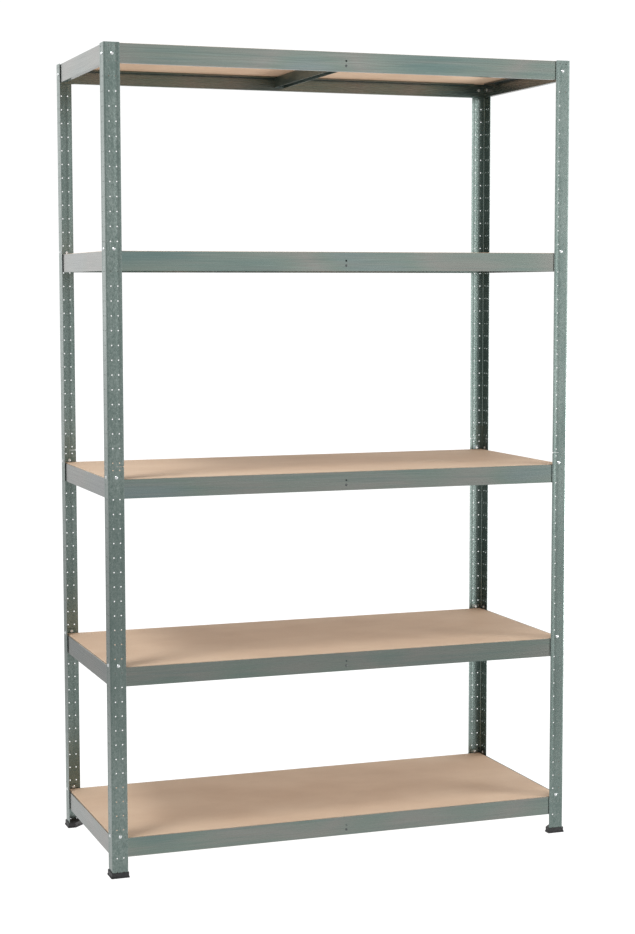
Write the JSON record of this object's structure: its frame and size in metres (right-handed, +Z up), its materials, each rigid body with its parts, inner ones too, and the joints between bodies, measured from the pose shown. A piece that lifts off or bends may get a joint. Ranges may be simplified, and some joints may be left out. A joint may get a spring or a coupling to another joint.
{
  "type": "boltless steel shelving",
  "caption": "Free-standing boltless steel rack: perforated angle posts in two halves, hooked edge beams and loose lift-off boards on open shelves.",
  "frame": {"origin": "on the floor, under the middle of the rack", "axes": "+Z up the posts, +X to the right along the wide side, front faces -Y"},
  "size_m": [1.2194, 0.5254, 2],
  "materials": {
    "post_steel": "semi-gloss grey-green zinc coat",
    "beam_steel": "semi-gloss grey-green zinc coat with rolling streaks",
    "sleeve_steel": "satin zinc coat",
    "tie_steel": "satin zinc coat",
    "stud_steel": "bright zinc",
    "board": "raw fibreboard, fine grain",
    "foot_plastic": "matte black moulding"
  },
  "bodies": {
    "frame": {"post_front_left_upper": "post_steel", "post_front_left_lower": "post_steel", "post_sleeve_front_left": "sleeve_steel", "foot_front_left": "foot_plastic", "post_front_right_upper": "post_steel", "post_front_right_lower": "post_steel", "post_sleeve_front_right": "sleeve_steel", "foot_front_right": "foot_plastic", "post_rear_left_upper": "post_steel", "post_rear_left_lower": "post_steel", "post_sleeve_rear_left": "sleeve_steel", "foot_rear_left": "foot_plastic", "post_rear_right_upper": "post_steel", "post_rear_right_lower": "post_steel", "post_sleeve_rear_right": "sleeve_steel", "foot_rear_right": "foot_plastic", "beam_1_front": "beam_steel", "beam_1_right": "beam_steel", "beam_1_rear": "beam_steel", "beam_1_left": "beam_steel", "centre_tie_1": "tie_steel", "locking_studs_1": "stud_steel", "beam_2_front": "beam_steel", "beam_2_right": "beam_steel", "beam_2_rear": "beam_steel", "beam_2_left": "beam_steel", "centre_tie_2": "tie_steel", "locking_studs_2": "stud_steel", "beam_3_front": "beam_steel", "beam_3_right": "beam_steel", "beam_3_rear": "beam_steel", "beam_3_left": "beam_steel", "centre_tie_3": "tie_steel", "locking_studs_3": "stud_steel", "beam_4_front": "beam_steel", "beam_4_right": "beam_steel", "beam_4_rear": "beam_steel", "beam_4_left": "beam_steel", "centre_tie_4": "tie_steel", "locking_studs_4": "stud_steel", "beam_5_front": "beam_steel", "beam_5_right": "beam_steel", "beam_5_rear": "beam_steel", "beam_5_left": "beam_steel", "centre_tie_5": "tie_steel", "locking_studs_5": "stud_steel", "tie_rivets": "stud_steel"},
    "loose_board_1": {"board_1": "board"},
    "loose_board_2": {"board_2": "board"},
    "loose_board_3": {"board_3": "board"},
    "loose_board_4": {"board_4": "board"},
    "loose_board_5": {"board_5": "board"}
  },
  "joints": [
    {"name": "board_1_lift", "type": "slide", "parent": "frame", "child": "loose_board_1", "axis": [0, 0, 1], "range_m": [0, 0.3]},
    {"name": "board_2_lift", "type": "slide", "parent": "frame", "child": "loose_board_2", "axis": [0, 0, 1], "range_m": [0, 0.4345]},
    {"name": "board_3_lift", "type": "slide", "parent": "frame", "child": "loose_board_3", "axis": [0, 0, 1], "range_m": [0, 0.4925]},
    {"name": "board_4_lift", "type": "slide", "parent": "frame", "child": "loose_board_4", "axis": [0, 0, 1], "range_m": [0, 0.405]},
    {"name": "board_5_lift", "type": "slide", "parent": "frame", "child": "loose_board_5", "axis": [0, 0, 1], "range_m": [0, 0.37]}
  ]
}
